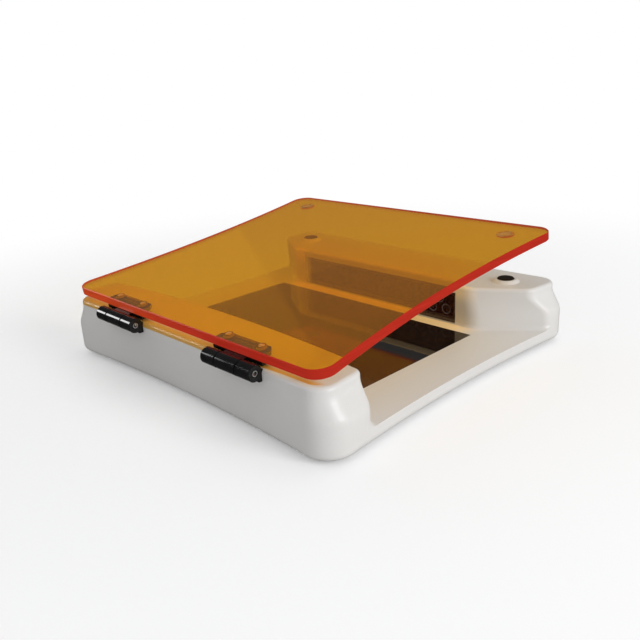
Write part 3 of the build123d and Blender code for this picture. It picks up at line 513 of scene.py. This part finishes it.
def insert_copper():
    """The lid's threaded inserts: a dull copper face inside a darker rim, the face with a painted bluish
    glow so that it shows pink through the amber lid.
    """
    mat = new_material("insert_copper", COPPER, 0.4, Metallic=0.2)
    rim = between(mat, near_inserts(mat), INSERT_FACE - INSERT_SOFT, INSERT_FACE + INSERT_SOFT)
    color = ramp_between(mat, noise(mat, scale=400.0), scaled(COPPER, 0.7), COPPER)
    link(mat, multiplied(mat, color, INSERT_RIM, rim), principled(mat).inputs["Base Color"])
    glow(mat, by_mask(mat, rim, COPPER_GLOW, NO_LIGHT))
    vary_roughness(mat, scale=500.0, low=0.35, high=0.5)
    return mat


def disc_steel():
    """The lid's discs, dull and pale; their top face, which shows through the lid, is painted warmer than
    the face below and given a faint bluish painted glow.
    """
    mat = new_material("disc_steel", DISC, 0.5)
    top = combine(mat, "GREATER_THAN", along_lid_normal(mat), DISC_FLATNESS)
    # Painted: the top face's warmer colour, and its glow below
    color = by_mask(mat, top, DISC_BELOW, DISC)
    grain = ramp_between(mat, noise(mat, scale=200.0), *DISC_GRAIN)
    link(mat, multiplied(mat, color, grain), principled(mat).inputs["Base Color"])
    glow(mat, by_mask(mat, top, NO_LIGHT, DISC_GLOW))
    vary_roughness(mat, scale=300.0, low=0.45, high=0.6)
    return mat


def dark_filter():
    """The dark pane in front of the lamps, just clear enough to show them, with a painted glow brightest at
    its left end.
    """
    mat = new_material("window_filter", PANE, 0.05, IOR=1.5, Transmission_Weight=1.0)
    vary_roughness(mat, scale=40.0, low=0.03, high=0.06)
    end = between(mat, position(mat, "X"), PANE_END + PANE_STRIP, PANE_END)
    glow(mat, ramp_between(mat, end, PANE_GLOW, PANE_END_GLOW, low=0.2, high=0.9))
    show(mat, light_through(mat, PANE_SHADE))
    return mat


def lens_clear():
    """Clear lamp lens with a blue cast."""
    mat = new_material("lamp_lens", LENS, 0.06, IOR=1.45)
    vary_roughness(mat, scale=700.0, low=0.04, high=0.12)
    return mat


def lens_rim():
    """The bright rim of a lamp's cup, with a faint painted glow."""
    mat = new_material("lamp_rim", LENS_RIM, 0.25, Metallic=0.6)
    glow(mat, vary_color(mat, scale=600.0, first=scaled(LENS_RIM, 0.6), second=LENS_RIM), LENS_RIM_STRENGTH)
    return mat


def metal(name, color, low, high):
    """A bare metal with fine uneven brightness."""
    mat = new_material(name, color, low, Metallic=1.0)
    vary_color(mat, scale=100.0, first=scaled(color, 0.85), second=color)
    vary_roughness(mat, scale=300.0, low=low, high=high)
    add_bump(mat, scale=600.0, height=0.000004)
    return mat


def plated_steel():
    """Bright plated steel."""
    return metal("plated_steel", PLATING, low=0.12, high=0.25)


def rubber():
    """Black rubber with a dull, slightly dusty face."""
    mat = new_material("black_rubber", RUBBER, 0.6, Specular_IOR_Level=0.25)
    vary_color(mat, 200.0, *RUBBER_SHADES)
    vary_roughness(mat, scale=350.0, low=0.5, high=0.7)
    add_bump(mat, scale=900.0, height=0.00001)
    return mat


def powder_coat():
    """Dark powder-coated sheet."""
    mat = new_material("powder_coat", COAT, 0.5)
    vary_color(mat, 80.0, *COAT_SHADES)
    vary_roughness(mat, scale=200.0, low=0.42, high=0.6)
    add_bump(mat, scale=1500.0, height=0.00003)
    return mat


def solder_mask(name, dark, light):
    """A circuit board's coating, slightly uneven."""
    mat = new_material(name, dark, 0.35)
    vary_color(mat, scale=500.0, first=dark, second=light)
    vary_roughness(mat, scale=300.0, low=0.28, high=0.45)
    return mat


def lead_skin():
    """Red lead insulation."""
    mat = new_material("lead_insulation", LEAD, 0.4)
    vary_color(mat, 200.0, *LEAD_SHADES)
    add_bump(mat, scale=800.0, height=0.00001)
    return mat


def dress(material, *names):
    """Give a material to CAD nodes by name."""
    for name in names:
        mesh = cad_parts[name].data
        mesh.materials.clear()
        mesh.materials.append(material)


def dress_nodes():
    """Materials of the carried-over CAD nodes."""
    dress(white_plastic(), "upper_housing")
    dress(plate_black(), "viewing_plate")
    dress(amber_acrylic(), "lid")
    dress(dark_filter(), "front_led_window", "rear_led_window")
    dress(black_plastic("black_gloss"), "left_wall_leaf", "right_wall_leaf")
    dress(leaf_under_lid(), "left_lid_leaf", "right_lid_leaf")
    dress(black_plastic("black_satin", rough_low=0.3, rough_high=0.45, peel=0.00001),
          "power_switch_body", "power_rocker", "dc_jack", "driver_components")
    dress(rubber(), "rubber_feet", "left_rest_pad", "right_rest_pad")
    dress(powder_coat(), "base_plate")
    dress(insert_copper(), "lid_inserts")
    dress(plated_steel(), "jack_nut", "jack_contact_pin")
    dress(disc_steel(), "lid_discs")
    dress(metal("steel", STEEL, low=0.25, high=0.4),
          "base_screws", "bracket_screws", "board_screws", "driver_screws", "wall_leaf_screws", "lid_screws")
    dress(metal("bracket_aluminium", ALUMINIUM, low=0.3, high=0.45), "front_led_bracket", "rear_led_bracket")
    dress(solder_mask("lamp_board_mask", *LAMP_BOARD_SHADES), "front_led_board", "rear_led_board")
    dress(solder_mask("driver_mask", *DRIVER_BOARD_SHADES), "driver_board")
    dress(lead_skin(), "lamp_leads", "supply_leads")


def turned(profile, spots, placed, segments):
    """Rings of points turned about lines along one axis, as vertices and faces with their material.

    The profile lists (radius, distance along the axis, material of the band that follows)."""
    vertices, faces, slots = [], [], []
    for spot in spots:
        first = len(vertices)
        for radius, reach, _ in profile:
            for step in range(segments):
                angle = 2 * math.pi * step / segments
                vertices.append(placed(spot, radius * math.cos(angle), radius * math.sin(angle), reach))
        for band, (_, _, material) in enumerate(profile[:-1]):
            for step in range(segments):
                here = first + band * segments
                after = (step + 1) % segments
                faces.append((here + step, here + after, here + segments + after, here + segments + step))
                slots.append(material)
    return vertices, faces, slots


def piece_from(name, shape, materials):
    """An object made from vertices, faces and their materials."""
    vertices, faces, slots = shape
    mesh = bpy.data.meshes.new(name)
    mesh.from_pydata(vertices, [], faces)
    for material in materials:
        mesh.materials.append(material)
    mesh.polygons.foreach_set("material_index", slots)
    welded = bmesh.new()
    welded.from_mesh(mesh)
    bmesh.ops.remove_doubles(welded, verts=welded.verts, dist=WELD_DISTANCE)
    bmesh.ops.recalc_face_normals(welded, faces=welded.faces)
    welded.to_mesh(mesh)
    welded.free()
    mesh.polygons.foreach_set("use_smooth", [True] * len(mesh.polygons))
    mesh.set_sharp_from_angle(angle=CRISP_ANGLE)
    piece = bpy.data.objects.new(name, mesh)
    bpy.context.scene.collection.objects.link(piece)
    return piece


def lens_shape(front, side):
    """Every lamp behind one window, as a cup with a rim around a domed lens."""
    spots = [((step - (count - 1) / 2) * LENS_PITCH, z) for count, z in LENS_ROWS for step in range(count)]

    def placed(spot, across, up, depth):
        """A point of a lamp that looks along Y."""
        return spot[0] + across, front + side * depth, spot[1] + up

    return turned(LENS_PROFILE, spots, placed, LENS_SEGMENTS)


def make_lenses():
    """The lamps behind both windows, in place of the CAD's plain ones."""
    materials = (black_plastic("lamp_cup", rough_low=0.25, rough_high=0.4), lens_rim(), lens_clear())
    for node, (front, side) in LENS_FRONTS.items():
        lenses = piece_from(node + "_lenses", lens_shape(front, side), materials)
        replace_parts(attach(lenses, "housing"), node)


def pin_shape(start, end):
    """A rolled tube along X, open at both ends."""
    near_end = [
        (0.0, PIN_DEPTH), (PIN_BORE, PIN_DEPTH), (PIN_BORE, PIN_ROUND), (PIN_BORE + PIN_ROUND, 0.0),
        (PIN_RADIUS - PIN_ROUND, 0.0), (PIN_RADIUS, PIN_ROUND),
    ]
    far_end = [(radius, end - start - reach) for radius, reach in reversed(near_end)]

    def placed(spot, across, up, reach):
        """A point of a pin that lies along X."""
        return spot + reach, PIN_AXIS[0] + across, PIN_AXIS[1] + up

    profile = [(radius, reach, 0) for radius, reach in near_end + far_end]
    return turned(profile, [start], placed, PIN_SEGMENTS)


def make_pins():
    """The hinge pins with open ends, in place of the CAD's plain ones."""
    steel = plated_steel()
    for node, (start, end) in PIN_ENDS.items():
        pin = piece_from(node + "_tube", pin_shape(start, end), (steel,))
        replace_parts(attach(pin, "housing"), node)


def white_light(mat, strength):
    """Plain white light; the strength is a number or a socket."""
    light = add_node(mat, "ShaderNodeEmission", Color=(1.0, 1.0, 1.0, 1.0))
    feed(mat, light.inputs["Strength"], strength)
    return light.outputs["Emission"]


def floor_paint():
    """Pale paint that keeps the shadow near the object and is plain white further off."""
    mat = new_material("floor_paint", FLOOR, 0.8)
    vary_color(mat, scale=3.0, first=scaled(FLOOR, 0.995), second=FLOOR)
    seen = ray_flag(mat, "Is Camera Ray")
    away = add_node(mat, "ShaderNodeVectorMath", operation="LENGTH")
    link(mat, coordinates(mat), away.inputs[0])
    far_off = combine(mat, "MULTIPLY", between(mat, away.outputs["Value"], *FLOOR_FADE), seen)
    lit = add_node(mat, "ShaderNodeAddShader")
    link(mat, principled(mat).outputs["BSDF"], lit.inputs[0])
    link(mat, white_light(mat, combine(mat, "MULTIPLY", seen, FLOOR_LIFT)), lit.inputs[1])
    mirrored = ray_flag(mat, "Is Glossy Ray")
    paint = mix_shaders(mat, mirrored, lit.outputs["Shader"], white_light(mat, FLOOR_SEEN_IN_GLOSS))
    paint = mix_shaders(mat, far_off, paint, white_light(mat, PLAIN_WHITE))
    filtered = ray_flag(mat, "Is Transmission Ray")
    show(mat, mix_shaders(mat, filtered, paint, white_light(mat, FLOOR_THROUGH_LID)))
    return mat


def make_floor():
    """A wide pale floor."""
    mesh = bpy.data.meshes.new("studio_floor")
    reach = FLOOR_REACH
    points = [(-reach, -reach, 0), (reach, -reach, 0), (reach, reach, 0), (-reach, reach, 0)]
    mesh.from_pydata(points, [], [(0, 1, 2, 3)])
    floor = bpy.data.objects.new("studio_floor", mesh)
    bpy.context.scene.collection.objects.link(floor)
    mesh.materials.append(floor_paint())


def mirrored_sky(world):
    """What mirror-like surfaces show: a dim horizon, a dim ceiling and one softbox."""
    height = position(world, "Z", "Generated")
    sky = between(world, height, HORIZON_TOP, CEILING_START, HORIZON_SHADE, CEILING_SHADE)
    toward = facing(world, coordinates(world, "Generated"), Vector(SOFTBOX).normalized())
    return combine(world, "ADD", sky, between(world, toward, SOFTBOX_EDGE, SOFTBOX_CORE, 0.0, SOFTBOX_SHADE))


def make_world():
    """White behind the object, an even soft light on it, and a studio for its reflections."""
    world = bpy.data.worlds.new("studio")
    bpy.context.scene.world = world
    world.use_nodes = True
    back = world.node_tree.nodes["Background"]
    filtered = ray_flag(world, "Is Transmission Ray")
    link(world, mix_colors(world, filtered, (1.0, 1.0, 1.0), SKY_THROUGH_LID), back.inputs["Color"])
    strength = mix_strengths(world, ray_flag(world, "Is Glossy Ray"), WORLD_LIGHT, mirrored_sky(world))
    strength = mix_strengths(world, filtered, strength, PLAIN_WHITE)
    strength = mix_strengths(world, ray_flag(world, "Is Camera Ray"), strength, PLAIN_WHITE)
    link(world, strength, back.inputs["Strength"])


def make_lamps():
    """Soft square lamps."""
    for name, place, target, size, power in LAMPS:
        light = bpy.data.lights.new(name, "AREA")
        light.shape = "SQUARE"
        light.size = size
        light.energy = power
        lamp = bpy.data.objects.new(name, light)
        lamp.visible_glossy = name not in UNMIRRORED
        lamp.location = place
        lamp.rotation_euler = (Vector(target) - Vector(place)).to_track_quat("-Z", "Y").to_euler()
        bpy.context.scene.collection.objects.link(lamp)


def make_camera():
    """The photograph's camera."""
    data = bpy.data.cameras.new("camera")
    data.sensor_width = SENSOR_MM
    data.lens = SENSOR_MM * FOCAL_PIXELS / IMAGE_PIXELS
    data.clip_start = CLIP_START
    data.clip_end = CLIP_END
    camera = bpy.data.objects.new("camera", data)
    azimuth, elevation = math.radians(CAMERA_AZIMUTH), math.radians(CAMERA_ELEVATION)
    turn = Euler((math.pi / 2 - elevation, 0.0, azimuth)).to_matrix()
    roll = Matrix.Rotation(math.radians(CAMERA_ROLL), 3, "Z")
    camera.matrix_world = Matrix.Translation(CAMERA_AT) @ (turn @ roll).to_4x4()
    bpy.context.scene.collection.objects.link(camera)
    bpy.context.scene.camera = camera


dress_nodes()
make_lenses()
make_pins()
make_floor()
make_world()
make_lamps()
make_camera()
bpy.context.scene.view_settings.view_transform = "Standard"
